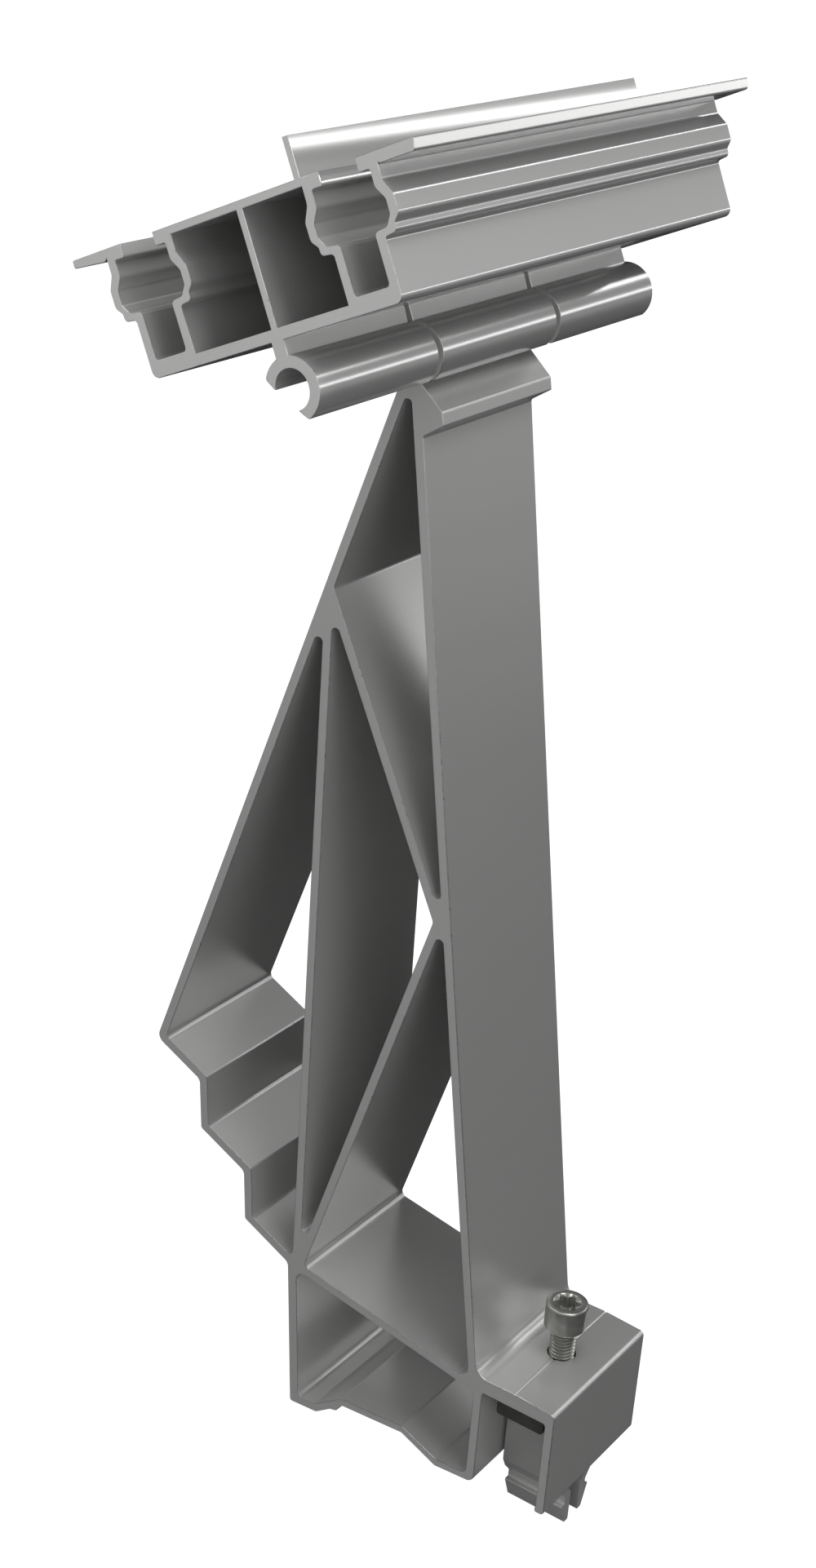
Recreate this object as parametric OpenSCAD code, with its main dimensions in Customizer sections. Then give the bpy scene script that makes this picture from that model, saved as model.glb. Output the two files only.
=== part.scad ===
// Flat roof mount bracket for a solar module: an extruded truss tower, a tilting module
// support that snaps on the tower's bead, and a bolted clamp that holds a floor rail.
// Millimetres, Z up. X runs from the stepped back to the clamp flange, Y along the extrusions.
// The origin is the middle of the sole under the back wall.

/* [Tower] */
// Width of the tower, the length cut from its extrusion
tower_w = 53; // [46:1:60]
// Thickness of legs, braces and walls
wall_t = 3; // [2.6:0.1:3.4]
// Height of the bead's axis over the soles
head_z = 348; // [335:1:365]
// Lean of the front leg from upright, in degrees
front_lean = 4.5; // [3.5:0.5:5.5]
// Lean of the back leg from upright, in degrees
back_lean = 22.7; // [21:0.1:24]
// Radius of the bead the module support turns on
bead_r = 5.15; // [4.9:0.05:5.5]
// Distance of the back leg's outer face from the bead's axis
back_leg_off = 2.2; // [1.6:0.1:2.8]
// Distance of the front leg's outer face behind the bead's axis
front_leg_off = 0.2; // [0.1:0.1:0.6]
// Radius in the corners of the truss openings
cell_r = 1.4; // [1:0.1:1.8]

/* [Braces] */
// Height where both braces meet the front leg
brace_z = 186.5; // [178:0.5:195]
// Height where the upper brace meets the back leg
brace_top_z = 279; // [272:1:286]
// Height where the inner leg meets the back leg
strut_top_z = 270.5; // [264:0.5:277]
// Distance of the inner leg's foot in front of the back wall's face
strut_foot = 1.9; // [1.2:0.1:2.6]
// Distance of the lower brace's foot in front of the back wall's face
brace_foot = 6.4; // [5.6:0.1:7.2]

/* [Stepped back] */
// Height of the lowest step's end at the back wall
step_z = 52.4; // [50:0.2:55]
// Distance from one step to the next along X
step_run = 17.1; // [15:0.1:19]
// Distance from one step to the next in height
step_rise = 27.3; // [25:0.1:30]
// Slope of the treads, in degrees
tread_slope = 30.2; // [27:0.1:33]
// Thickness of treads and risers
step_t = 3.1; // [2.8:0.1:3.4]
// Outer radius on the steps
step_r = 2.4; // [1.6:0.1:3]

/* [Foot box] */
// Length of the back sole
sole_back = 10.6; // [9:0.2:12]
// Length of the front sole
sole_front = 14.5; // [12:0.2:17]
// Length of the ramps beside the raised underside, along X
ramp = 12.6; // [11:0.2:14]
// Height of the raised underside between the soles
belly_z = 6.8; // [5.8:0.1:7.8]
// Thickness of the floor
floor_t = 2.5; // [2.2:0.1:2.9]
// Thickness of the back wall
back_wall_t = 3.4; // [3:0.1:3.8]
// Height of the box roof's upper face at the brace's foot
roof_z = 53.4; // [51:0.1:56]
// Fall of the box roof towards the front, in degrees
roof_slope = 14.4; // [13:0.1:16]

/* [Clamp flange] */
// Distance of the bolt's axis from the origin, at the flange's top
bolt_x = 80.4; // [77:0.1:84]
// Height of the flange's top at the bolt's axis
flange_z = 39; // [37:0.1:41]
// Lean of the bolt's axis from upright, in degrees
clamp_lean = 4.5; // [3.5:0.1:5.5]
// Thickness of the flange at the bolt
flange_t = 5.3; // [4.6:0.1:6]
// Width of the channel between wall and lip
channel_w = 22.5; // [22:0.1:24]
// Depth of the lip's end under the flange's top
lip_drop = 38.5; // [36:0.1:41]
// Radius of the bolt hole in the flange
flange_hole_r = 4.5; // [4.3:0.05:4.8]
// Length of the stop nose at the tower's head
nose_len = 8; // [6.5:0.1:9]

/* [Module support] */
// Length of the module support along its extrusion
support_len = 160; // [140:1:180]
// Tilt of the module plane as drawn, in degrees
tilt = 20.3; // [16:0.1:22]
// Height of the support's upper plane over the bead's axis
deck_v = 46.35; // [44:0.05:49]
// Reach of the deck towards its low edge
deck_low = 57.7; // [56:0.1:60]
// Reach of the deck towards its high edge
deck_high = 54.7; // [52:0.1:57]
// Thickness of the deck
deck_t = 2.1; // [1.8:0.1:2.4]
// Centre of the low channel, from the bead's axis
low_slot_u = 34.65; // [33:0.05:36]
// Distance between the two channels
slot_pitch = 66.2; // [64:0.1:69]
// Width of the channel mouths
mouth_w = 11.3; // [10.4:0.1:12]
// Width of the channels' upper chamber at its widest
chamber_w = 22; // [21:0.1:23.4]
// Width of the channels' lower chamber
lower_w = 10.6; // [9.8:0.1:11.4]
// Thickness of the channel walls
channel_t = 2.6; // [2.3:0.1:2.9]
// Thickness of the bottom plate
base_t = 3.1; // [2.9:0.1:3.5]
// Height of the channels' floors over the bottom plate
floor_rise = 1.3; // [0.8:0.1:1.8]
// Height of the bottom plate's underside over the bead's axis
base_v = 12; // [11:0.05:13]
// Outer radius on the bottom plate's edges
base_r = 2.2; // [1.4:0.1:2.4]
// Thickness of the central wall
centre_t = 1.9; // [1.7:0.1:2.4]
// Position of the stop fin towards the high edge
fin_u = 19.3; // [17:0.1:21]
// Height of the stop fin over the deck
fin_h = 10.1; // [8:0.1:12]
// Thickness of the stop fin
fin_t = 1.8; // [1.5:0.1:2.2]
// Wall thickness of the snap socket
socket_t = 3.2; // [2.8:0.1:3.4]
// Clearance between bead and socket, on the radius
socket_gap = 0.05; // [0.03:0.01:0.08]
// Radius on the outer edges of the socket's lips
lip_r = 1.1; // [0.8:0.1:1.3]
// Width of the neck over the socket
neck_w = 3.95; // [3.4:0.05:4.6]
// Width of the saw slits beside the tower
slit_w = 2.2; // [1.6:0.1:2.8]

/* [Bolt] */
// Radius of the bolt's shank
bolt_r = 4; // [3.9:0.01:4.04]
// Length of the bolt under its head
bolt_len = 35; // [34:0.5:40]
// Radius of the bolt's head
head_r = 6.5; // [6:0.1:7]
// Height of the bolt's head
head_h = 8.7; // [7.6:0.1:9.4]
// Gap between the head and the flange, the bolt being slack
head_gap = 10.2; // [8:0.1:10.6]
// Radius to the tips of the six-lobed recess in the head
recess_r = 3.95; // [3.5:0.05:4.3]
// Depth of the six-lobed recess in the head
recess_d = 4.4; // [3.5:0.1:5]

/* [Rail clip and nut plate] */
// Width of the clip along X
clip_w = 21; // [20:0.1:21.6]
// Width of the clip's body along Y
clip_body = 21; // [20:0.1:23]
// Depth of the clip's top under the flange's top
clip_top = 14; // [13.6:0.1:14.8]
// Thickness of the clip's web round the bolt
web_t = 8; // [7:0.1:9]
// Length of the clip's body from its top
clip_body_h = 26.5; // [25:0.1:28]
// Total height of the clip
clip_h = 44; // [43:0.1:46]
// Width across the clip's neck
clip_neck = 12; // [11.4:0.1:13]
// Width across the clip's barbs
clip_barb = 15.8; // [15:0.1:17]
// Gap between the clip's legs
clip_gap = 5.4; // [5:0.1:6]
// Width of the nut plate along X
plate_w = 16.6; // [16:0.1:18]
// Length of the nut plate along Y
plate_len = 44; // [40:0.5:50]
// Thickness of the nut plate
plate_t = 4.6; // [4:0.1:4.8]
// Radius of the hole through nut plate and clip
thread_r = 4.05; // [4.05:0.01:4.08]

/* [Hidden] */
$fn = 96;

aluminium = [0.62, 0.62, 0.61];
dark_steel = [0.27, 0.27, 0.25];

// A line is a point and the angle it points in; beside() shifts it to its left.
function beside(l, d) = [l[0] + d * [-sin(l[1]), cos(l[1])], l[1]];
function through(p, q) = [p, atan2(q[1] - p[1], q[0] - p[0])];
function at_z(l, z) = l[0] + (z - l[0][1]) / sin(l[1]) * [cos(l[1]), sin(l[1])];
function at_x(l, x) = l[0] + (x - l[0][0]) / cos(l[1]) * [cos(l[1]), sin(l[1])];
function cross2(a, b) = a[0] * b[1] - a[1] * b[0];
function meet(a, b) =
    let (
        da = [cos(a[1]), sin(a[1])],
        db = [cos(b[1]), sin(b[1])],
        k = cross2(b[0] - a[0], db) / cross2(da, db)
    ) a[0] + k * da;

// The clamp's own frame: t across the channel, n along the bolt, zero on the flange's top.
clamp_at = [bolt_x, flange_z];
t_dir = [cos(clamp_lean), -sin(clamp_lean)];
n_dir = [sin(clamp_lean), cos(clamp_lean)];
function clamp(t, n) = clamp_at + t * t_dir + n * n_dir;

wall_x = -sole_back / 2;
level = [[0, 0], 0];
wall_out = [clamp(-channel_w / 2, 0), 90 - clamp_lean];
wall_in = beside(wall_out, wall_t);
flange_under = [clamp(0, -flange_t), -clamp_lean];
lip_in = [clamp(channel_w / 2, 0), 90 - clamp_lean];
lip_out = beside(lip_in, -wall_t);
flange_back = [clamp_at, -clamp_lean + 1.4];
flange_front = [clamp_at, -clamp_lean - 3.4];

front_out = [clamp(-channel_w / 2, 0.9) - [2.75, 0], 90 + front_lean];
front_in = beside(front_out, wall_t);
bead = at_z(front_out, head_z) + [front_leg_off, 0];
back_out = beside([bead, 90 - back_lean], back_leg_off);
back_in = beside(back_out, -wall_t);

function tread_out(k) = [[wall_x - k * step_run, step_z + k * step_rise], -tread_slope];
function tread_in(k) = beside(tread_out(k), step_t);
function riser_out(k) = [[wall_x - k * step_run, 0], 90];
function riser_in(k) = beside(riser_out(k), -step_t);

roof_up = [[wall_x + brace_foot, roof_z], -roof_slope];
roof_low = beside(roof_up, -wall_t);
brace_node = at_z(front_in, brace_z);
upper_brace = through(brace_node, at_z(back_in, brace_top_z));
upper_brace_low = beside(upper_brace, wall_t);
lower_brace = through([wall_x + brace_foot, roof_z], brace_node);
lower_brace_up = beside(lower_brace, wall_t);
strut = through(at_x(tread_in(0), wall_x + strut_foot), at_z(back_in, strut_top_z));
strut_front = beside(strut, -wall_t);

socket_r = bead_r + socket_gap;
socket_out = socket_r + socket_t;
plate_top = plate_t - clip_top;

// A corner rounded by radius r: where its arc leaves and joins the edges, and its centre.
function arc_of(a, c, b, r) =
    let (
        u = (a - c) / norm(a - c),
        v = (b - c) / norm(b - c),
        half = acos(u * v) / 2,
        m = (u + v) / norm(u + v)
    ) [c + u * r / tan(half), c + v * r / tan(half), c + m * r / sin(half), cross2(v, u)];

// What lies past the chord p-q on the side away from the point c, from `under` below the chord.
module past_chord(p, q, c, reach, under = 0, extra = 0) {
    m = (p + q) / 2;
    out = (m - c) / norm(m - c);
    half = (norm(q - p) / 2 + extra) * [out[1], -out[0]];
    near = m - under * out;
    far = m + reach * out;
    polygon([near - half, near + half, far + half, far - half]);
}

// The slice of a circle past the chord p-q. It reaches under the chord and is a hair larger, so
// that it crosses the edges beside it and doesn't only touch them.
module arc_slice(p, q, c, r) {
    intersection() {
        translate(c)
            circle(r = r + 0.003);
        past_chord(p, q, c, 2 * r, 0.3 * r, r);
    }
}

// A closed outline, anticlockwise, whose corners are [point, radius].
module rounded(corners) {
    n = len(corners);
    arcs = [
        for (i = [0:n - 1])
            arc_of(
                corners[(i + n - 1) % n][0],
                corners[i][0],
                corners[(i + 1) % n][0],
                max(corners[i][1], 0.01)
            )
    ];
    difference() {
        union() {
            polygon([
                for (i = [0:n - 1])
                    each corners[i][1] > 0 ? [arcs[i][0], arcs[i][1]] : [corners[i][0]]
            ]);
            for (i = [0:n - 1])
                if (corners[i][1] > 0 && arcs[i][3] > 0)
                    arc_slice(arcs[i][0], arcs[i][1], arcs[i][2], corners[i][1]);
        }
        for (i = [0:n - 1])
            if (corners[i][1] > 0 && arcs[i][3] < 0)
                arc_slice(arcs[i][0], arcs[i][1], arcs[i][2], corners[i][1]);
    }
}

// Extrudes an outline drawn in X and Z along Y, centred on the middle of the width.
module along_y(len) {
    translate([0, len / 2, 0])
        rotate([90, 0, 0])
            linear_extrude(len)
                children();
}

module in_clamp() {
    translate([bolt_x, 0, flange_z])
        rotate([0, clamp_lean, 0])
            children();
}

module tower_outline() {
    belly_start = sole_back / 2 + 10.5;
    belly_end = meet(wall_out, level)[0] - sole_front - ramp;
    rounded([
        [[wall_x, 0], 1],
        [[sole_back / 2, 0], 2],
        [[sole_back / 2 + 5.6, 3.5], 0.6],
        [[sole_back / 2 + 8, 3.9], 0.6],
        [[belly_start, belly_z], 0.8],
        [[belly_end, belly_z], 2],
        [[belly_end + ramp, 0], 2],
        [meet(wall_out, level), 3],
        [meet(wall_out, flange_under), 1],
        [meet(flange_under, lip_in), 1],
        [clamp(channel_w / 2, 3 - lip_drop), 0],
        [clamp(channel_w / 2 - 0.25, 1.4 - lip_drop), 0],
        [clamp(channel_w / 2 - 0.25, -lip_drop), 0.6],
        [clamp(channel_w / 2 + wall_t, -lip_drop), 1.4],
        [meet(lip_out, flange_front), 1.6],
        [clamp(0.5, -0.5 * tan(3.4)), 0],
        [clamp(0, -0.45), 0],
        [clamp(-0.5, 0.5 * tan(1.4)), 0],
        [meet(flange_back, front_out), 5],
        [at_z(front_out, head_z - 22), 1],
        [bead + [nose_len, -18.4], 0.6],
        [bead + [nose_len - 0.4, -14.8], 1.2],
        [at_z(front_out, head_z - 7.6), 0.8],
        [meet(front_out, back_out), 0],
        [meet(back_out, tread_out(2)), 3],
        [meet(tread_out(2), riser_out(2)), step_r],
        [meet(riser_out(2), tread_out(1)), 1.2],
        [meet(tread_out(1), riser_out(1)), step_r],
        [meet(riser_out(1), tread_out(0)), 1.2],
        [meet(tread_out(0), riser_out(0)), step_r]
    ]);
    translate(bead)
        circle(r = bead_r);
}

module truss_cells() {
    rounded([
        [meet(back_in, front_in), cell_r],
        [meet(back_in, upper_brace), 2],
        [brace_node, cell_r]
    ]);
    rounded([
        [meet(strut_front, upper_brace_low), cell_r],
        [meet(strut_front, lower_brace_up), cell_r],
        [meet(lower_brace_up, upper_brace_low), 2]
    ]);
    rounded([
        [brace_node, cell_r],
        [meet(lower_brace, roof_up), 2],
        [meet(roof_up, front_in), 3.4]
    ]);
    rounded([
        [meet(back_in, strut), cell_r],
        [meet(back_in, tread_in(2)), 2],
        [meet(tread_in(2), riser_in(2)), 1],
        [meet(riser_in(2), tread_in(1)), 2],
        [meet(tread_in(1), riser_in(1)), 1],
        [meet(riser_in(1), tread_in(0)), 2],
        [meet(tread_in(0), strut), 2]
    ]);
}

module foot_cell() {
    belly_end = meet(wall_out, level)[0] - sole_front - ramp;
    rounded([
        [[wall_x + back_wall_t, floor_t + 0.5], 2],
        [[sole_back / 2 - 0.4, floor_t + 0.5], 2],
        [[sole_back / 2 + 10, belly_z + floor_t], 2],
        [[belly_end, belly_z + floor_t], 2],
        [[belly_end + ramp + 0.6, floor_t], 2],
        [meet(wall_in, [[0, floor_t], 0]), 2.2],
        [meet(wall_in, roof_low), 3],
        [meet(roof_low, [[wall_x + back_wall_t, 0], 90]), 3]
    ]);
}

module tower() {
    color(aluminium)
        difference() {
            along_y(tower_w)
                difference() {
                    tower_outline();
                    truss_cells();
                    foot_cell();
                }
            in_clamp()
                translate([0, 0, -flange_t - 3])
                    cylinder(r = flange_hole_r, h = flange_t + 6);
        }
}

// Height of a point of a channel, h over the bottom plate's underside when the deck is at 46.35.
function channel_v(h) = base_v + h * (deck_v - base_v) / 34.35;

// One side of a channel of the module support, from its centre line outwards.
module channel_shell() {
    half = chamber_w / 2;
    rounded([
        [[0, base_v + base_r + 0.3], 0],
        [[lower_w / 2 + channel_t, base_v + base_r + 0.3], 0],
        [[lower_w / 2 + channel_t, channel_v(15.3)], 1],
        [[half + 0.6, channel_v(15.7)], 1.2],
        [[half + 0.7, channel_v(17.8)], 1],
        [[half + 2.5, channel_v(19.6)], 2],
        [[half + 2.5, channel_v(24.2)], 2],
        [[half + 0.5, channel_v(27.8)], 2],
        [[half + 0.5, deck_v - 0.5], 0],
        [[0, deck_v - 0.5], 0]
    ]);
}

module channel_cavity() {
    half = chamber_w / 2;
    floor_v = base_v + base_t + floor_rise;
    rounded([
        [[-1, floor_v], 0],
        [[lower_w / 2, floor_v], 1],
        [[lower_w / 2, channel_v(17)], 1.2],
        [[half - 1.8, channel_v(17.4)], 1.6],
        [[half, channel_v(19.9)], 1.2],
        [[half, channel_v(23.5)], 2],
        [[half - 2.1, channel_v(26.6)], 2],
        [[half - 2.1, deck_v - 3.5], 0.6],
        [[mouth_w / 2, deck_v - 3.5], 0.5],
        [[mouth_w / 2, deck_v + 1], 0],
        [[-1, deck_v + 1], 0]
    ]);
}

module both_channels() {
    for (u = [-low_slot_u, slot_pitch - low_slot_u])
        translate([u, 0]) {
            children();
            mirror([1, 0])
                children();
        }
}

module support_outline() {
    base_low = -low_slot_u - lower_w / 2 - channel_t;
    base_high = slot_pitch - low_slot_u + lower_w / 2 + channel_t;
    flat_t = deck_t + 1;
    // Deck, thicker by 1 mm beside the channels
    rounded([
        [[-deck_low, deck_v - deck_t], 0.5],
        [[-low_slot_u - chamber_w / 2 - 1.2, deck_v - flat_t], 0],
        [[-low_slot_u - chamber_w / 2, deck_v - deck_t], 0],
        [[slot_pitch - low_slot_u + chamber_w / 2, deck_v - deck_t], 0],
        [[slot_pitch - low_slot_u + chamber_w / 2 + 1.2, deck_v - flat_t], 0],
        [[deck_high - 0.8, deck_v - flat_t], 0.8],
        [[deck_high, deck_v], 0.4],
        [[-deck_low, deck_v], 0.4]
    ]);
    rounded([
        [[base_low, base_v], base_r],
        [[base_high, base_v], base_r],
        [[base_high, base_v + base_t + 2], 0],
        [[base_high - channel_t, base_v + base_t], 0],
        [[base_low + channel_t, base_v + base_t], 0],
        [[base_low, base_v + base_t + 2], 0]
    ]);
    translate([-centre_t / 2 - 0.15, base_v + base_t / 2])
        square([centre_t, deck_v - base_v - base_t / 2 - deck_t / 2]);
    translate([fin_u - fin_t / 2, deck_v - deck_t / 2])
        square([fin_t, fin_h + deck_t / 2]);
    both_channels()
        channel_shell();
}

// Ends of the socket's mouth: the inner edge of each lip, and the angle its end face points in.
lip_low = [(socket_r + 0.3) * [cos(168.5), sin(168.5)], 122.4];
lip_high = [(socket_r + 0.3) * [cos(271.2), sin(271.2)], -48];

// The rounding of a lip's outer edge: where it leaves the end face and the wall, and its centre.
function lip_arc(l, side) =
    let (
        inward = side * [-sin(l[1]), cos(l[1])],
        along = [cos(l[1]), sin(l[1])],
        d = l[0] * inward + lip_r,
        c = d * inward + sqrt(pow(socket_out - lip_r, 2) - d * d) * along
    ) [c - lip_r * inward, c * socket_out / norm(c), c];

// The open snap socket under the support, with the neck that carries it.
module socket_outline() {
    low = lip_arc(lip_low, -1);
    high = lip_arc(lip_high, 1);
    difference() {
        union() {
            circle(r = socket_out);
            translate([-neck_w / 2 - 0.3, 0])
                square([neck_w, base_v + base_t / 2]);
        }
        circle(r = socket_r);
        polygon([
            [0, 0],
            lip_low[0],
            lip_low[0] + 1.45 * socket_out * [cos(lip_low[1]), sin(lip_low[1])],
            [-3, -0.25] * socket_out,
            [-2, -3] * socket_out,
            lip_high[0] + 2 * socket_out * [cos(lip_high[1]), sin(lip_high[1])],
            lip_high[0]
        ]);
        past_chord(low[0], low[1], low[2], 3);
        past_chord(high[0], high[1], high[2], 3);
    }
    arc_slice(low[0], low[1], low[2], lip_r);
    arc_slice(high[0], high[1], high[2], lip_r);
}

module module_support() {
    color(aluminium)
        translate([bead[0], 0, bead[1]])
            rotate([0, -tilt, 0])
                difference() {
                    union() {
                        along_y(support_len)
                            difference() {
                                support_outline();
                                both_channels()
                                    channel_cavity();
                            }
                        along_y(support_len)
                            socket_outline();
                    }
                    for (s = [-1, 1])
                        translate([
                            -1.5 * socket_out,
                            s * (tower_w / 2 + 2) - slit_w / 2,
                            -1.5 * socket_out
                        ])
                            cube([3 * socket_out, slit_w, 1.5 * socket_out + base_v]);
                }
}

module recess_outline() {
    circle(r = recess_r * 0.71);
    for (a = [30:60:330])
        rotate(a)
            translate([recess_r * 0.735, 0])
                circle(r = recess_r * 0.265);
}

module clamp_bolt() {
    color(dark_steel)
        in_clamp()
            translate([0, 0, head_gap])
                difference() {
                    union() {
                        translate([0, 0, -bolt_len])
                            cylinder(r1 = bolt_r - 0.7, r2 = bolt_r, h = 0.7);
                        translate([0, 0, 0.7 - bolt_len])
                            cylinder(r = bolt_r, h = bolt_len - 0.6);
                        cylinder(r = head_r, h = head_h - 0.6);
                        translate([0, 0, head_h - 0.6])
                            cylinder(r1 = head_r, r2 = head_r - 0.6, h = 0.6);
                    }
                    translate([0, 0, head_h - recess_d])
                        linear_extrude(recess_d + 1)
                            recess_outline();
                    translate([0, 0, head_h - 0.7])
                        cylinder(r1 = recess_r - 0.35, r2 = recess_r + 0.45, h = 0.8);
                }
}

// One half of the rail clip's section: Y outwards, n upwards from the clip's top.
module clip_half() {
    side = clip_body / 2;
    leg_end = clip_barb / 2 - 2.9;
    barb = clip_h - 7.8;
    rounded([
        [[0, -web_t], 0],
        [[side - 3, -web_t], 1.5],
        [[side - 3, -clip_body_h], 2],
        [[clip_gap / 2, -clip_body_h - 6.5], 2],
        [[clip_gap / 2, -clip_h], 0.5],
        [[leg_end, -clip_h], 0.8],
        [[clip_barb / 2, -barb], 0.3],
        [[clip_neck / 2, -barb], 0.4],
        [[clip_neck / 2, -barb + 2.6], 1],
        [[side - 1.7, -clip_body_h - 3.7], 1.2],
        [[side, -clip_body_h], 1.6],
        [[side, 0], 0.8],
        [[0, 0], 0]
    ]);
}

module rail_clip() {
    color(aluminium)
        in_clamp()
            difference() {
                translate([-clip_w / 2, 0, -clip_top])
                    rotate([90, 0, 90])
                        linear_extrude(clip_w)
                            union() {
                                clip_half();
                                mirror([1, 0])
                                    clip_half();
                            }
                translate([0, 0, -clip_top - web_t - 2])
                    cylinder(r = thread_r, h = web_t + 4);
            }
}

module nut_plate() {
    color(dark_steel)
        in_clamp()
            difference() {
                translate([0, plate_len / 2, 0])
                    rotate([90, 0, 0])
                        linear_extrude(plate_len)
                            rounded([
                                [[-plate_w / 2, -clip_top], 1],
                                [[plate_w / 2, -clip_top], 1],
                                [[plate_w / 2, plate_top], 0.6],
                                [[-plate_w / 2, plate_top], 0.6]
                            ]);
                translate([0, 0, -clip_top - 2])
                    cylinder(r = thread_r, h = plate_t + 4);
            }
}

tower();
module_support();
clamp_bolt();
rail_clip();
nut_plate();
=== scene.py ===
"""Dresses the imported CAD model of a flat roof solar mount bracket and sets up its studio.

The extruded pieces and the nut plate keep the CAD shape. The edges of the tower, the support and
the plate are broken, and the extrusions get drawn skins and sawn ends as materials. The clamp bolt
is modelled anew, with its thread and six-lobed recess.
"""

from math import atan2, cos, pi, radians, sin

import bmesh
import bpy
from bpy.props import FloatProperty, FloatVectorProperty, IntProperty, PointerProperty
from mathutils import Matrix, Vector


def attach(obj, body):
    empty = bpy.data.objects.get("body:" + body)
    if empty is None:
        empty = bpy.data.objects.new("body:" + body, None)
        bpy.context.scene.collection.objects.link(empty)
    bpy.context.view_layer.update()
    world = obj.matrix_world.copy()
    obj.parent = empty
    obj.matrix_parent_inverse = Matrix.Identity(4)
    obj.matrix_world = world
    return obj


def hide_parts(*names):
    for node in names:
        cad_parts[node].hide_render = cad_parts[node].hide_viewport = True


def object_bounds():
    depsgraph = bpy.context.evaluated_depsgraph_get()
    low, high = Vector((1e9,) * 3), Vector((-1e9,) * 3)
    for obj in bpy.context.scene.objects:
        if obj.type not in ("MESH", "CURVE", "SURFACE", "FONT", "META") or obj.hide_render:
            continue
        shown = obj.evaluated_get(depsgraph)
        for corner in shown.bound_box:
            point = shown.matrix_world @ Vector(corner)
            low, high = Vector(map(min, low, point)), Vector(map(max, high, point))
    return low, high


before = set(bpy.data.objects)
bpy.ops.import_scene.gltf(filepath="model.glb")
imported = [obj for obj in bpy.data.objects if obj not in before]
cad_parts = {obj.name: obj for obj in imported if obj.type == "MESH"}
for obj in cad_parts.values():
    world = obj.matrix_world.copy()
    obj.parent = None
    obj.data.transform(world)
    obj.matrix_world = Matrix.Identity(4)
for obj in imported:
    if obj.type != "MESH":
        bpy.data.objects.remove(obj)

bl_info = {
    "name": "Flat roof solar mount bracket",
    "version": (1, 0, 0),
    "blender": (4, 5, 0),
    "location": "View3D > Sidebar > Bracket",
    "description": "Dresses the extruded bracket, its clamp bolt and its studio",
    "category": "Object",
}

MM = 0.001
CAD_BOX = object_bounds()

# The bolt's axis leans with the flange, and CLAMP_FOOT is where it leaves the flange's top.
CLAMP_LEAN = radians(4.5)
CLAMP_FOOT = Vector((0.0804, 0.0, 0.039))
LOBES = 6

# How much a face looks along the extrusion if it is a sawn end, or a broken edge.
SAWN_FACING = 0.99
BROKEN_FACING = 0.15

# CAD vertices this close are one, and CAD faces bent less than this are one.
MERGE_WITHIN = 2e-6
FLAT_WITHIN = radians(0.2)

BLACK = (0.0, 0.0, 0.0, 1.0)
WHITE = (1.0, 1.0, 1.0, 1.0)
FLOOR_RADIUS = 6.0
FLOOR_DROP = 0.0004
CAMERA_PLACE = (0.3956, -0.5335, 0.48)
CAMERA_RIGHT = Vector((0.8172, 0.5763, 0.0060))
CAMERA_FORWARD = Vector((-0.5315, 0.7577, -0.3786))


class Sig:
    """A shader socket that expressions can be written on."""

    def __init__(self, mat, socket):
        self.mat = mat
        self.socket = socket

    def _math(self, operation, *others):
        return self.mat.node("ShaderNodeMath", {"operation": operation}, [self, *others])

    def __add__(self, other):
        return self._math("ADD", other)

    def __radd__(self, other):
        return self._math("ADD", other)

    def __sub__(self, other):
        return self._math("SUBTRACT", other)

    def __rsub__(self, other):
        return self.mat.node("ShaderNodeMath", {"operation": "SUBTRACT"}, [other, self])

    def __mul__(self, other):
        return self._math("MULTIPLY", other)

    def __rmul__(self, other):
        return self._math("MULTIPLY", other)

    def at_most(self, top):
        return self._math("MINIMUM", top)

    def at_least(self, bottom):
        return self._math("MAXIMUM", bottom)

    def clamped(self):
        return self.at_least(0.0).at_most(1.0)

    def over(self, edge, width):
        """0 below the edge, 1 above it, with a ramp of the given width."""
        return ((self - (edge - width / 2)) * (1.0 / width)).clamped()


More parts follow.
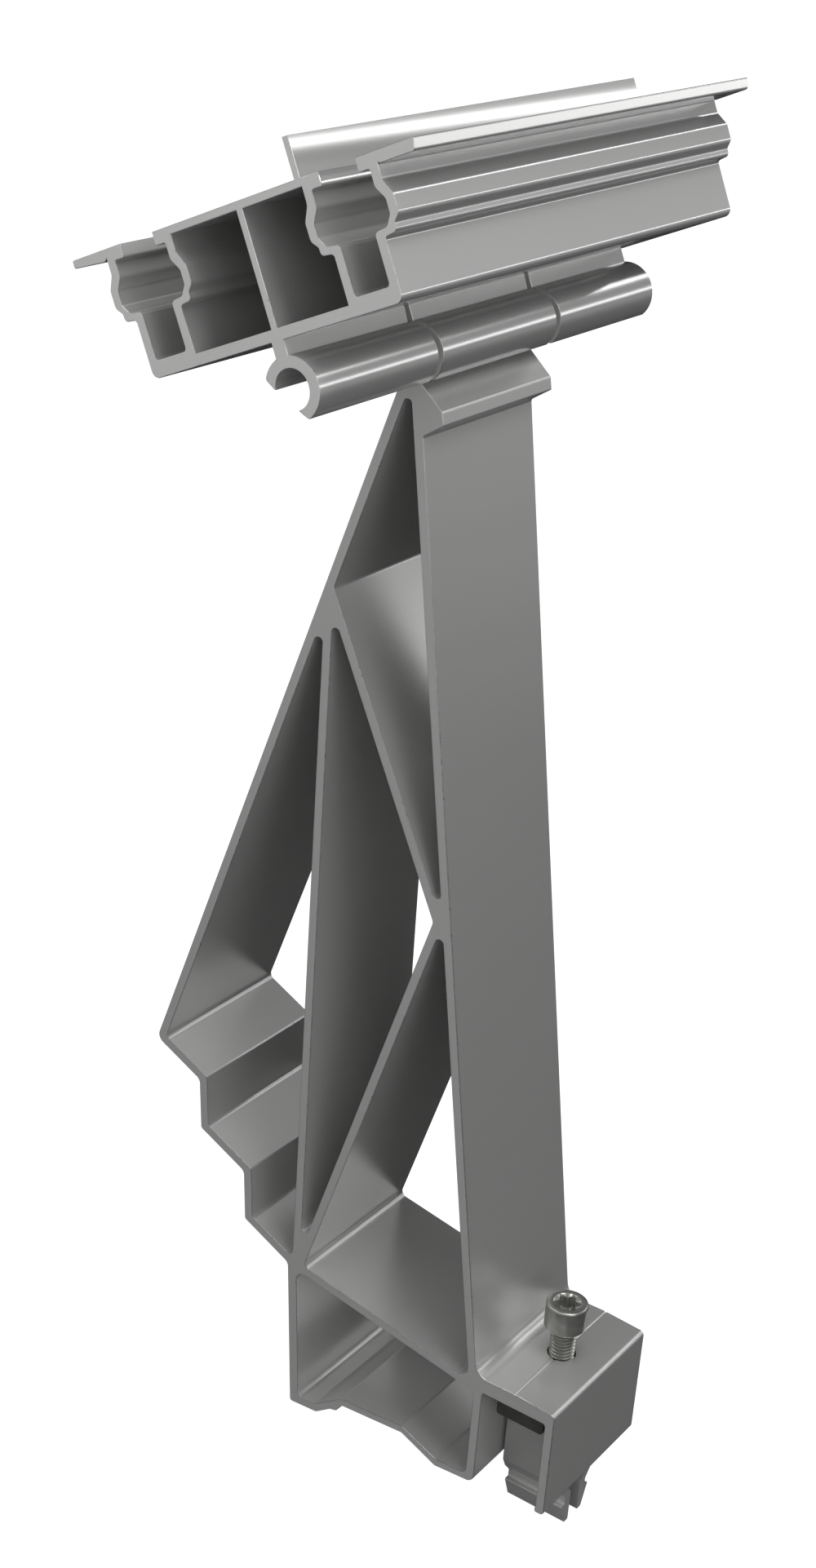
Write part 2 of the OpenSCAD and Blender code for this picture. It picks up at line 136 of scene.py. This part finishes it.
class Mat:
    """A node tree under construction."""

    def __init__(self, tree):
        self.tree = tree
        self.tree.nodes.clear()

    @classmethod
    def material(cls, name):
        """Starts a new material, kept as made."""
        made = bpy.data.materials.new(name)
        made.use_nodes = True
        mat = cls(made.node_tree)
        mat.made = made
        return mat

    def node(self, kind, settings=None, sockets=None, output=0):
        """One node: its settings first, then the values or links of its sockets."""
        node = self.tree.nodes.new(kind)
        for key, value in (settings or {}).items():
            setattr(node, key, value)
        pairs = enumerate(sockets) if isinstance(sockets, list) else (sockets or {}).items()
        for key, value in pairs:
            if isinstance(value, Sig):
                self.tree.links.new(value.socket, node.inputs[key])
            else:
                node.inputs[key].default_value = value
        self.last = node
        return Sig(self, node.outputs[output]) if node.outputs else None

    def coords(self, scale):
        """Object coordinates, stretched by a factor along each axis."""
        place = self.node("ShaderNodeTexCoord", output="Object")
        return self.node("ShaderNodeMapping", {}, {"Vector": place, "Scale": scale})

    def noise(self, scale, detail=3.0, roughness=0.55):
        """Noise with a scale along each axis, per metre."""
        return self.node(
            "ShaderNodeTexNoise",
            {},
            {
                "Vector": self.coords(scale),
                "Scale": 1.0,
                "Detail": detail,
                "Roughness": roughness,
            },
        )

    def blend(self, factor, first, second):
        """Mix of two colours. The colour sockets of the Mix node are 6 and 7, and 2 comes out."""
        return self.node(
            "ShaderNodeMix",
            {"data_type": "RGBA"},
            {"Factor": factor, 6: first, 7: second},
            output=2,
        )

    def bump(self, height, distance, strength):
        """Normal of a relief, its distance in metres."""
        return self.node(
            "ShaderNodeBump",
            {},
            {"Height": height, "Distance": distance, "Strength": strength},
        )

    def surface(self, **sockets):
        """The Principled surface of a material."""
        names = {k.replace("_", " "): v for k, v in sockets.items()}
        shader = self.node("ShaderNodeBsdfPrincipled", {}, names)
        self.node("ShaderNodeOutputMaterial", {}, {"Surface": shader})
        return self.made


def shade(colour, factor):
    """A colour made darker or lighter."""
    return (colour[0] * factor, colour[1] * factor, colour[2] * factor, 1.0)


def along(axis, across, length):
    """Scale of a pattern that is stretched along one axis."""
    return tuple(length if i == "XYZ".index(axis) else across for i in range(3))


def drawn_skin(name, colour, roughness, axis="Y"):
    """Extruded aluminium: faint die lines along an axis and cloudy oxide."""
    m = Mat.material(name)
    lines = m.noise(along(axis, 160.0, 0.7), detail=1.0)
    cloud = m.noise((14.0, 9.0, 14.0), detail=1.0)
    tone = (lines * 0.4 + cloud * 0.6).over(0.5, 0.6)
    return m.surface(
        Base_Color=m.blend(tone, shade(colour, 0.975), shade(colour, 1.025)),
        Metallic=0.5,
        Roughness=roughness + cloud * 0.02,
        Normal=m.bump(lines, 0.00001, 0.3),
    )


def sawn_end(name, colour, roughness):
    """Sawn aluminium: shallow arcs left by the saw's teeth and a fine grain."""
    m = Mat.material(name)
    place = m.coords((1.0, 1.0, 1.0))
    saw_centre = (-0.31, 0.0, 0.52)
    offset = m.node("ShaderNodeVectorMath", {"operation": "SUBTRACT"}, [place, saw_centre])
    flat = m.node("ShaderNodeVectorMath", {"operation": "MULTIPLY"}, [offset, (1.0, 0.0, 1.0)])
    radius = m.node("ShaderNodeVectorMath", {"operation": "LENGTH"}, [flat], "Value")
    wander = m.noise((60.0, 1.0, 60.0), detail=2.0)
    arcs = m.node("ShaderNodeMath", {"operation": "SINE"}, [radius * 9000.0 + wander * 9.0])
    grain = m.noise((1500.0, 400.0, 1500.0), detail=3.0)
    cloud = m.noise((30.0, 8.0, 30.0), detail=3.0)
    tone = (arcs * 0.08 + grain * 0.5 + cloud * 0.5).over(0.5, 0.7)
    base = m.blend(tone, shade(colour, 0.96), shade(colour, 1.04))
    rough = roughness + grain * 0.05 + cloud * 0.04
    return m.surface(
        Base_Color=base,
        Metallic=0.5,
        Roughness=rough,
        Normal=m.bump(arcs * 0.25 + grain, 0.000006, 0.3),
    )


def broken_edge(name, colour):
    """The broken edge round a sawn end. Its colour is painted brighter than the body's as a painted
    highlight, and rubbed wear varies it.
    """
    m = Mat.material(name)
    rubbed = m.noise((500.0, 500.0, 500.0), detail=3.0)
    # Painted highlight: the edge colour runs from 1.15 to 1.5 times the aluminium's, and the noise
    # that varies it is rubbed wear.
    base = m.blend(rubbed.over(0.5, 0.4), shade(colour, 1.15), shade(colour, 1.5))
    return m.surface(
        Base_Color=base,
        Metallic=0.85,
        Roughness=0.22 + rubbed * 0.16,
        Normal=m.bump(rubbed, 0.00002, 0.4),
    )


def coated_steel(name, colour, roughness, grain_depth):
    """Coated steel: fine grain, light rubbing and slightly cloudy sheen."""
    m = Mat.material(name)
    grain = m.noise((2200.0, 2200.0, 2200.0), detail=2.0)
    cloud = m.noise((240.0, 240.0, 240.0), detail=4.0)
    turned = m.noise((90.0, 90.0, 2600.0), detail=2.0)
    rubbed = m.noise((600.0, 600.0, 600.0), detail=5.0, roughness=0.7).over(0.66, 0.06)
    base = m.blend(cloud.over(0.5, 0.5), shade(colour, 0.82), shade(colour, 1.2))
    base = m.blend(rubbed * 0.5, base, shade(colour, 1.9))
    return m.surface(
        Base_Color=base,
        Metallic=0.7,
        Roughness=roughness - 0.04 + grain * 0.1 + cloud * 0.06,
        Normal=m.bump(grain * 0.5 + turned * 0.4 - rubbed * 0.6, grain_depth, 0.6),
    )


def is_cap(face):
    """Whether a face is part of a sawn end."""
    return abs(face.normal.y) > SAWN_FACING


def cad_copy(node):
    """A merged copy of a CAD node's mesh, with its flat faces whole again."""
    bm = bmesh.new()
    bm.from_mesh(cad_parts[node].data)
    bmesh.ops.remove_doubles(bm, verts=bm.verts, dist=MERGE_WITHIN)
    bmesh.ops.dissolve_limit(
        bm,
        angle_limit=FLAT_WITHIN,
        verts=bm.verts,
        edges=bm.edges,
        use_dissolve_boundaries=False,
    )
    return bm


def break_edges(bm, edges, width):
    """Bevels edges with two faces across."""
    bmesh.ops.bevel(
        bm,
        geom=edges,
        offset=width,
        offset_type="OFFSET",
        segments=2,
        profile=0.5,
        affect="EDGES",
        material=-1,
        clamp_overlap=False,
    )


def placed(bm, name, body, nodes, materials, sharp=30.0):
    """Makes a piece of a mesh, that rides on a body and stands for CAD nodes."""
    mesh = bpy.data.meshes.new(name)
    bm.to_mesh(mesh)
    bm.free()
    for material in materials:
        mesh.materials.append(material)
    mesh.shade_smooth()
    mesh.set_sharp_from_angle(angle=radians(sharp))
    piece = bpy.data.objects.new(name, mesh)
    bpy.context.scene.collection.objects.link(piece)
    weighted = piece.modifiers.new("even shading", "WEIGHTED_NORMAL")
    weighted.keep_sharp = True
    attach(piece, body)
    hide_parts(*nodes)
    return piece


def dress_extrusion(node, name, body, colours, edge_width):
    """An extruded CAD node with a drawn skin, sawn ends and broken edges between them."""
    bm = cad_copy(node)
    edges = [
        e
        for e in bm.edges
        if len(e.link_faces) == 2 and is_cap(e.link_faces[0]) != is_cap(e.link_faces[1])
    ]
    break_edges(bm, edges, edge_width)
    for face in bm.faces:
        broken = abs(face.normal.y) > BROKEN_FACING
        face.material_index = 1 if is_cap(face) else 2 if broken else 0
    placed(bm, name, body, [node], colours)


def ring_edges(verts):
    """The edges of the ring that the vertices make."""
    inside = set(verts)
    return list({e for v in verts for e in v.link_edges if e.other_vert(v) in inside})


def set_ring(verts, radius, height):
    """Puts vertices at a radius, or a radius by angle, and a height, in mm."""
    for v in verts:
        angle = atan2(v.co.y, v.co.x)
        reach = radius(angle) if callable(radius) else radius
        v.co = Vector((reach * cos(angle), reach * sin(angle), height)) * MM


def lathe(bm, rings, segments):
    """Extrudes a circle through rings of (radius or radius by angle, height), in mm."""
    ring = bmesh.ops.create_circle(bm, cap_ends=True, segments=segments, radius=1.0)["verts"]
    set_ring(ring, *rings[0])
    edges = ring_edges(ring)
    for radius, height in rings[1:]:
        made = bmesh.ops.extrude_edge_only(bm, edges=edges)["geom"]
        ring = [g for g in made if isinstance(g, bmesh.types.BMVert)]
        set_ring(ring, radius, height)
        edges = ring_edges(ring)
    top = sum((v.co for v in ring), Vector()) / len(ring)
    bmesh.ops.pointmerge(bm, verts=ring, merge_co=top)


def bolt_rings(b, core):
    """The bolt's outline as (radius, height) in mm, from its tip to the recess's bottom."""
    tip = -b.length
    neck = b.shank_radius - 0.05
    head = b.head_radius
    top = b.head_height
    floor = top - b.recess_depth
    lobe_middle = b.recess_radius - 0.6
    lobe_swing = 0.58
    lobe_rounding = 0.03

    def lobes(spread):
        """Radius by angle of the six-lobed outline, spread outwards."""

        def radius(angle):
            turn = LOBES * (angle - pi / LOBES)
            wave = lobe_swing * cos(turn) - lobe_rounding * cos(2 * turn)
            return lobe_middle + spread + wave

        return radius

    return [
        (core - 0.55, tip),
        (core, tip + 0.55),
        (core, -1.3),
        (neck, -0.75),
        (neck, -0.3),
        (b.shank_radius + 0.25, -0.02),
        (b.shank_radius + 0.5, 0.0),
        (head - 0.45, 0.0),
        (head - 0.14, 0.1),
        (head, 0.4),
        (head, top - 0.62),
        (head - 0.1, top - 0.34),
        (head - 0.4, top - 0.06),
        (head - 0.62, top),
        (b.recess_radius + 0.5, top),
        (b.recess_radius + 0.38, top - 0.05),
        (lobes(0.14), top - 0.5),
        (lobes(0.0), top - 0.72),
        (lobes(0.0), floor + 0.25),
        (lobes(-0.2), floor + 0.02),
        (lobes(-0.6), floor),
        (1.4, floor - 0.3),
        (0.3, floor - 0.6),
    ]


def thread(bm, bottom, turns, pitch, core, crest, steps):
    """A V-shaped ridge wound up a shank, rooted inside it. All sizes in mm."""
    root = core - 0.25
    crest_from, crest_to = 0.42, 0.58
    outline = [(root, 0.0), (crest, crest_from), (crest, crest_to), (root, 1.0)]
    verts = [bm.verts.new(Vector((r, 0.0, bottom + h * pitch)) * MM) for r, h in outline]
    face = bm.faces.new(verts)
    bmesh.ops.spin(
        bm,
        geom=[face, *face.edges, *face.verts],
        cent=(0.0, 0.0, 0.0),
        axis=(0.0, 0.0, 1.0),
        dvec=(0.0, 0.0, pitch * MM / steps),
        angle=2 * pi * turns,
        steps=steps * turns,
        use_merge=False,
        use_duplicate=False,
    )


class FinishSettings(bpy.types.PropertyGroup):
    """Colours and edges of the bracket's metals."""

    aluminium: FloatVectorProperty(
        name="Aluminium",
        description="Base colour of the drawn and sawn aluminium",
        subtype="COLOR",
        default=(0.55, 0.55, 0.545),
        min=0.0,
        max=1.0,
    )
    # Painted light: the support's sawn ends are coloured brighter than the tower's, standing in for
    # the stronger light on the top of the bracket.
    lit_support_end: FloatVectorProperty(
        name="Lit support end",
        description="Base colour of the support's sawn ends, brighter than the tower's",
        subtype="COLOR",
        default=(0.71, 0.71, 0.703),
        min=0.0,
        max=1.0,
    )
    steel: FloatVectorProperty(
        name="Bolt steel",
        description="Base colour of the zinc on the clamp bolt",
        subtype="COLOR",
        default=(0.36, 0.36, 0.34),
        min=0.0,
        max=1.0,
    )
    plate: FloatVectorProperty(
        name="Nut plate",
        description="Base colour of the dark coat on the nut plate",
        subtype="COLOR",
        default=(0.11, 0.11, 0.104),
        min=0.0,
        max=1.0,
    )
    skin_roughness: FloatProperty(
        name="Skin roughness",
        description="Roughness of the drawn aluminium between its die lines",
        default=0.27,
        min=0.1,
        max=0.8,
    )
    end_roughness: FloatProperty(
        name="Sawn roughness",
        description="Roughness of the sawn ends",
        default=0.44,
        min=0.1,
        max=0.9,
    )
    edge_width: FloatProperty(
        name="Broken edge",
        description="Width of the broken edge round the sawn ends",
        subtype="DISTANCE",
        unit="LENGTH",
        default=0.00022,
        min=0.0001,
        max=0.0004,
    )
    plate_edge: FloatProperty(
        name="Plate edge",
        description="Width of the broken edges of the nut plate",
        subtype="DISTANCE",
        unit="LENGTH",
        default=0.00025,
        min=0.0001,
        max=0.0005,
    )


class BoltSettings(bpy.types.PropertyGroup):
    """Sizes of the clamp bolt, in millimetres."""

    head_radius: FloatProperty(
        name="Head radius", description="Radius of the bolt's head", default=6.5, min=6, max=7
    )
    head_height: FloatProperty(
        name="Head height", description="Height of the bolt's head", default=8.7, min=7, max=9.4
    )
    shank_radius: FloatProperty(
        name="Thread radius", description="Radius over the thread", default=4.0, min=3.8, max=4.04
    )
    length: FloatProperty(
        name="Length", description="Length under the head", default=35.0, min=34, max=40
    )
    gap: FloatProperty(
        name="Gap", description="Gap between the head and the flange", default=10.2, min=8, max=11
    )
    pitch: FloatProperty(
        name="Pitch", description="Pitch of the thread", default=1.25, min=1, max=1.5
    )
    recess_radius: FloatProperty(
        name="Recess radius",
        description="Radius to the tips of the six lobes",
        default=3.95,
        min=3.5,
        max=4.3,
    )
    recess_depth: FloatProperty(
        name="Recess depth", description="Depth of the recess", default=4.4, min=3.5, max=5
    )
    segments: IntProperty(
        name="Segments", description="Faces round the head", default=144, min=48, max=240
    )


class StudioSettings(bpy.types.PropertyGroup):
    """Light and camera."""

    key_power: FloatProperty(
        name="Key lamp", description="Power of the lamp at the right", default=3.0, unit="POWER"
    )
    top_power: FloatProperty(
        name="Top lamp", description="Power of the lamp over the bracket", default=6.5, unit="POWER"
    )
    sky: FloatProperty(
        name="Surrounding", description="Level of the soft light from the front", default=1.0
    )
    behind: FloatProperty(
        name="Behind", description="Level of the soft light from behind", default=0.08
    )
    strip: FloatProperty(
        name="Low strip", description="Power of the strip behind", default=2.2, unit="POWER"
    )
    box: FloatProperty(
        name="High softbox", description="Power of the softbox behind", default=3.6, unit="POWER"
    )
    glow: FloatProperty(
        name="Far floor", description="Brightness of the far floor in reflections", default=1.0
    )
    floor: FloatVectorProperty(
        name="Floor",
        description="Colour of the floor under the bracket",
        subtype="COLOR",
        default=(0.4, 0.4, 0.4),
        min=0.0,
        max=1.0,
    )
    lens: FloatProperty(
        name="Lens", description="Focal length on the long side of 36 mm", default=55.16
    )


class BRACKET_OT_tower(bpy.types.Operator):
    """Dress the truss tower"""

    bl_idname = "bracket.tower"
    bl_label = "Truss tower"

    def execute(self, context):
        finish = context.scene.bracket_finish
        colours = [
            drawn_skin("tower_drawn", finish.aluminium, finish.skin_roughness),
            sawn_end("tower_sawn", finish.aluminium, finish.end_roughness),
            broken_edge("tower_edge", finish.aluminium),
        ]
        dress_extrusion(
            "tower", "truss_tower", "tower", colours, finish.edge_width
        )
        return {"FINISHED"}


class BRACKET_OT_module_support(bpy.types.Operator):
    """Dress the channelled module support"""

    bl_idname = "bracket.module_support"
    bl_label = "Module support"

    def execute(self, context):
        finish = context.scene.bracket_finish
        colours = [
            drawn_skin("support_drawn", finish.aluminium, finish.skin_roughness - 0.09),
            # Painted light: the brighter end colour stands in for the stronger light on the top.
            sawn_end("support_sawn", finish.lit_support_end, finish.end_roughness),
            broken_edge("support_edge", finish.aluminium),
        ]
        dress_extrusion(
            "module_support", "channelled_support", "support", colours, finish.edge_width
        )
        return {"FINISHED"}


class BRACKET_OT_clamp_bolt(bpy.types.Operator):
    """Model the clamp bolt with its thread and six-lobed recess"""

    bl_idname = "bracket.clamp_bolt"
    bl_label = "Clamp bolt"

    def execute(self, context):
        b = context.scene.bracket_bolt
        finish = context.scene.bracket_finish
        core = b.shank_radius - 0.61 * b.pitch
        bm = bmesh.new()
        lathe(bm, bolt_rings(b, core), b.segments)
        thread(
            bm,
            bottom=0.7 - b.length,
            turns=int((b.length - 1.6) / b.pitch) - 1,
            pitch=b.pitch,
            core=core,
            crest=b.shank_radius - 0.02,
            steps=44,
        )
        bmesh.ops.remove_doubles(bm, verts=bm.verts, dist=1e-7)
        bmesh.ops.recalc_face_normals(bm, faces=bm.faces)
        lean = Matrix.Rotation(CLAMP_LEAN, 4, "Y")
        lift = Matrix.Translation((0.0, 0.0, b.gap * MM))
        seat = Matrix.Translation(CLAMP_FOOT) @ lean @ lift
        bmesh.ops.transform(bm, matrix=seat, verts=bm.verts)
        steel = coated_steel("bolt_zinc", finish.steel, 0.2, 0.000002)
        placed(bm, "socket_bolt", "bolt", ["clamp_bolt"], [steel], sharp=38.0)
        return {"FINISHED"}


class BRACKET_OT_rail_clip(bpy.types.Operator):
    """Dress the rail clip and the nut plate"""

    bl_idname = "bracket.rail_clip"
    bl_label = "Rail clip and nut plate"

    def execute(self, context):
        finish = context.scene.bracket_finish
        bm = cad_copy("rail_clip")
        for face in bm.faces:
            face.material_index = 1 if abs(face.normal.x) > 0.9 else 0
        placed(
            bm,
            "barbed_clip",
            "clamp",
            ["rail_clip"],
            [
                drawn_skin("clip_drawn", finish.aluminium, finish.skin_roughness, "X"),
                sawn_end("clip_sawn", finish.aluminium, finish.end_roughness),
            ],
        )
        bm = cad_copy("nut_plate")
        edges = [e for e in bm.edges if len(e.link_faces) == 2 and e.calc_face_angle(0) > 1.0]
        break_edges(bm, edges, finish.plate_edge)
        coat = coated_steel("plate_coat", finish.plate, 0.5, 0.00001)
        placed(bm, "dark_nut_plate", "clamp", ["nut_plate"], [coat])
        return {"FINISHED"}


def ray_kinds(m):
    """1 for rays from the camera or through glass, and 1 for rays that a gloss sends out."""
    m.node("ShaderNodeLightPath")
    names = ("Is Camera Ray", "Is Glossy Ray", "Is Transmission Ray")
    camera, glossy, through = (Sig(m, m.last.outputs[name]) for name in names)
    return camera.at_least(through), glossy


def make_world(studio):
    """White behind the bracket, soft light mostly from the front, and grey panels in the gloss."""
    world = bpy.data.worlds.new("studio")
    world.use_nodes = True
    bpy.context.scene.world = world
    m = Mat(world.node_tree)
    shown, glossy = ray_kinds(m)
    direction = m.node("ShaderNodeTexCoord", output="Generated")
    m.node("ShaderNodeSeparateXYZ", {}, {"Vector": direction})
    right, back, up = (Sig(m, m.last.outputs[i]) for i in range(3))
    front_level = 1.3
    soft = ((0.0 - back) * front_level).at_least(studio.behind) * studio.sky
    # Levels of the panels that gloss reflects: low and high at the right, back left, and front.
    low_panel, high_panel, left_panel, front_panel, elsewhere = 0.45, 0.6, 0.15, 0.5, 0.01
    side = right.over(0.0, 0.3)
    right_side = (1.0 - up.over(0.42, 0.12)) * low_panel + up.over(0.62, 0.15) * high_panel
    left_side = (0.0 - right).over(0.3, 0.2) * back.over(0.0, 0.4) * up.over(0.42, 0.2)
    front_side = (0.0 - back).over(0.1, 0.4) * (1.0 - side)
    sides = side * right_side + left_side * left_panel + front_side * front_panel
    gloss = elsewhere + up.over(-0.02, 0.08) * sides
    level = soft + (gloss - soft) * glossy
    level = level + (1.0 - level) * shown
    shader = m.node("ShaderNodeBackground", {}, {"Color": WHITE, "Strength": level})
    m.node("ShaderNodeOutputWorld", {}, {"Surface": shader})


def make_floor(studio):
    """A wide floor that the camera sees white, with the bracket's shadow on it."""
    bm = bmesh.new()
    bmesh.ops.create_circle(bm, cap_ends=True, segments=64, radius=FLOOR_RADIUS)
    bmesh.ops.translate(bm, vec=(0.0, 0.0, CAD_BOX[0].z - FLOOR_DROP), verts=bm.verts)
    mesh = bpy.data.meshes.new("floor")
    bm.to_mesh(mesh)
    bm.free()
    m = Mat.material("pale_floor")
    shown, glossy = ray_kinds(m)
    place = m.node("ShaderNodeTexCoord", output="Object")
    reach = m.node("ShaderNodeVectorMath", {"operation": "LENGTH"}, [place], "Value")
    across = m.node("ShaderNodeSeparateXYZ", {}, {"Vector": place})
    away = Sig(m, m.last.outputs["Y"])
    # In the gloss the floor is bright far in front, less so far right, and dark elsewhere.
    right_share, elsewhere = 0.4, 0.01
    far_right = reach.over(1.6, 1.6) * across.over(0.1, 1.0)
    far_front = reach.over(1.6, 1.4) * (1.0 - away.over(0.0, 1.0))
    far_glow = (far_front + far_right * right_share) * studio.glow + elsewhere
    glow = m.blend(shown, BLACK, WHITE)
    glow = m.blend(far_glow * glossy, glow, WHITE)
    grain = m.noise((90.0, 90.0, 90.0), detail=2.0)
    tone = m.blend(grain, shade(studio.floor, 0.97), shade(studio.floor, 1.03))
    tone = m.blend(glossy, tone, BLACK)
    m.surface(
        Base_Color=tone,
        Roughness=0.95,
        Specular_IOR_Level=0.0,
        Emission_Color=glow,
        Emission_Strength=0.95,
    )
    m.made.cycles.emission_sampling = "NONE"
    mesh.materials.append(m.made)
    floor = bpy.data.objects.new("floor", mesh)
    bpy.context.scene.collection.objects.link(floor)


def area_lamp(name, place, target, size, power, only_gloss):
    """A rectangular lamp that the camera doesn't see, aimed at a target."""
    data = bpy.data.lights.new(name, "AREA")
    data.shape = "RECTANGLE"
    data.size, data.size_y = size
    data.energy = power
    lamp = bpy.data.objects.new(name, data)
    lamp.location = place
    aim = Vector(target) - Vector(place)
    lamp.rotation_euler = aim.to_track_quat("-Z", "Y").to_euler()
    lamp.visible_camera = False
    lamp.visible_diffuse = not only_gloss
    bpy.context.scene.collection.objects.link(lamp)


def make_lamps(studio):
    """Lamps at the right and above, and two behind that only show in the gloss."""
    middle = (0.04, -0.05, 0.25)
    head = (0.05, 0.0, 0.38)
    low = (0.06, 0.0, 0.2)
    rows = (
        ("key_lamp", (1.5, -0.65, 0.45), middle, (0.8, 0.8), studio.key_power, False),
        ("low_strip", (1.18, 1.64, 0.45), head, (1.4, 0.16), studio.strip, True),
        ("high_box", (1.02, 1.55, 1.24), head, (1.3, 0.2), studio.box, True),
        ("top_lamp", (0.5, -0.1, 1.2), low, (0.5, 0.9), studio.top_power, False),
    )
    for row in rows:
        area_lamp(*row)


def make_camera(scene, lens):
    """The photograph's viewpoint."""
    data = bpy.data.cameras.new("photo_camera")
    data.sensor_width = 36.0
    data.sensor_fit = "AUTO"
    data.lens = lens
    data.clip_start = 0.01
    data.clip_end = 50.0
    camera = bpy.data.objects.new("photo_camera", data)
    right = CAMERA_RIGHT.normalized()
    forward = CAMERA_FORWARD.normalized()
    up = right.cross(forward).normalized()
    right = forward.cross(up).normalized()
    turn = Matrix((right, up, -forward)).transposed()
    camera.matrix_world = Matrix.Translation(CAMERA_PLACE) @ turn.to_4x4()
    scene.collection.objects.link(camera)
    scene.camera = camera


class BRACKET_OT_stage(bpy.types.Operator):
    """Make the floor, the lamps and the camera"""

    bl_idname = "bracket.stage"
    bl_label = "Studio"

    def execute(self, context):
        studio = context.scene.bracket_studio
        scene = context.scene
        make_world(studio)
        make_floor(studio)
        make_lamps(studio)
        make_camera(scene, studio.lens)
        scene.view_settings.view_transform = "Standard"
        return {"FINISHED"}


class BRACKET_PT_sidebar(bpy.types.Panel):
    """Lists the bracket's pieces and its settings"""

    bl_idname = "BRACKET_PT_sidebar"
    bl_label = "Solar mount bracket"
    bl_space_type = "VIEW_3D"
    bl_region_type = "UI"
    bl_category = "Bracket"

    def draw(self, context):
        for operator in OPERATORS:
            self.layout.operator(operator.bl_idname)
        for group in ("bracket_finish", "bracket_bolt", "bracket_studio"):
            settings = getattr(context.scene, group)
            box = self.layout.box()
            for key in settings.bl_rna.properties.keys():
                if key not in ("rna_type", "name"):
                    box.prop(settings, key)


OPERATORS = (
    BRACKET_OT_tower,
    BRACKET_OT_module_support,
    BRACKET_OT_clamp_bolt,
    BRACKET_OT_rail_clip,
    BRACKET_OT_stage,
)
GROUPS = (FinishSettings, BoltSettings, StudioSettings)


def register():
    for cls in (*GROUPS, *OPERATORS, BRACKET_PT_sidebar):
        bpy.utils.register_class(cls)
    bpy.types.Scene.bracket_finish = PointerProperty(type=FinishSettings)
    bpy.types.Scene.bracket_bolt = PointerProperty(type=BoltSettings)
    bpy.types.Scene.bracket_studio = PointerProperty(type=StudioSettings)


def unregister():
    del bpy.types.Scene.bracket_finish
    del bpy.types.Scene.bracket_bolt
    del bpy.types.Scene.bracket_studio
    for cls in reversed((*GROUPS, *OPERATORS, BRACKET_PT_sidebar)):
        bpy.utils.unregister_class(cls)


def main():
    """Builds the pieces and the studio."""
    register()
    bpy.ops.bracket.tower()
    bpy.ops.bracket.module_support()
    bpy.ops.bracket.clamp_bolt()
    bpy.ops.bracket.rail_clip()
    bpy.ops.bracket.stage()


if __name__ == "__main__":
    main()
